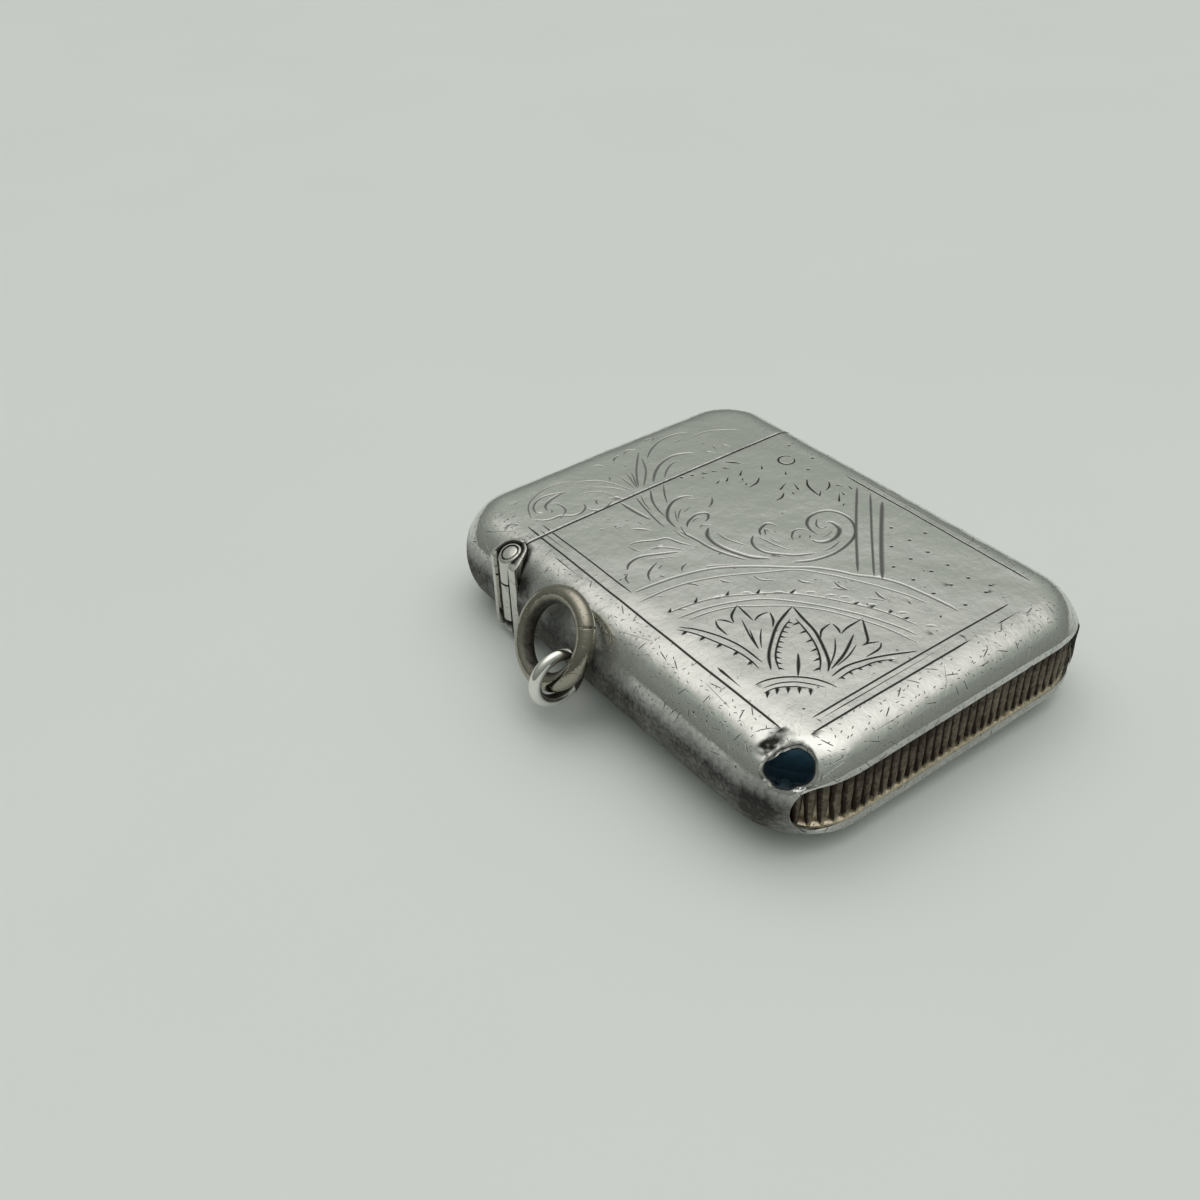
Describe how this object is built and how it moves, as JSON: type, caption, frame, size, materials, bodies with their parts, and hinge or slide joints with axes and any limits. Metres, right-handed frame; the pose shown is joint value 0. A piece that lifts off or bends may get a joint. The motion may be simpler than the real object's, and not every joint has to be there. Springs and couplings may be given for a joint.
{
  "type": "vesta case",
  "caption": "Pillow-shaped pocket match case with an engraved front, a hinged lid at one end, a ribbed striker in the other end and a loose carrying ring on its side.",
  "frame": {"origin": "middle of the flat back, on the surface that the case lies on", "axes": "+Z out of the engraved front, +Y towards the lid end, -X towards the hinge and the rings"},
  "size_m": [0.0396, 0.0456, 0.0103],
  "materials": {
    "engraved_silver": "worn polished silver with bright-cut engraving",
    "plain_silver": "worn polished silver",
    "collar_silver": "handled silver, lightly tarnished",
    "striker": "ribbed silver under old brown match residue",
    "hinge_silver": "filed and rubbed silver",
    "pin": "drawn wire, filed flush",
    "bright_ring": "mirror polished silver",
    "dull_ring": "rubbed silver wire, slightly tarnished"
  },
  "bodies": {
    "body": {"body_front": "engraved_silver", "body_back": "plain_silver", "mouth_bezel": "collar_silver", "striker_strip": "striker", "body_bearer": "hinge_silver", "body_knuckle_upper": "hinge_silver", "body_knuckle_lower": "hinge_silver", "hinge_pin": "pin", "fixed_ring": "bright_ring"},
    "lid": {"lid_front": "engraved_silver", "lid_back": "plain_silver", "lid_bearer": "hinge_silver", "lid_knuckle": "hinge_silver"},
    "ring": {"carrying_ring": "dull_ring"}
  },
  "joints": [
    {"name": "lid_hinge", "type": "hinge", "parent": "body", "child": "lid", "pos_m": [-0.01625, 0.0128, 0.0045], "axis": [0, 0, 1], "range_deg": [0, 90]},
    {"name": "ring_swing", "type": "hinge", "parent": "body", "child": "ring", "pos_m": [-0.0198, 0.0012, 0.0045], "axis": [0, -1, 0], "range_deg": [0, 155]}
  ]
}
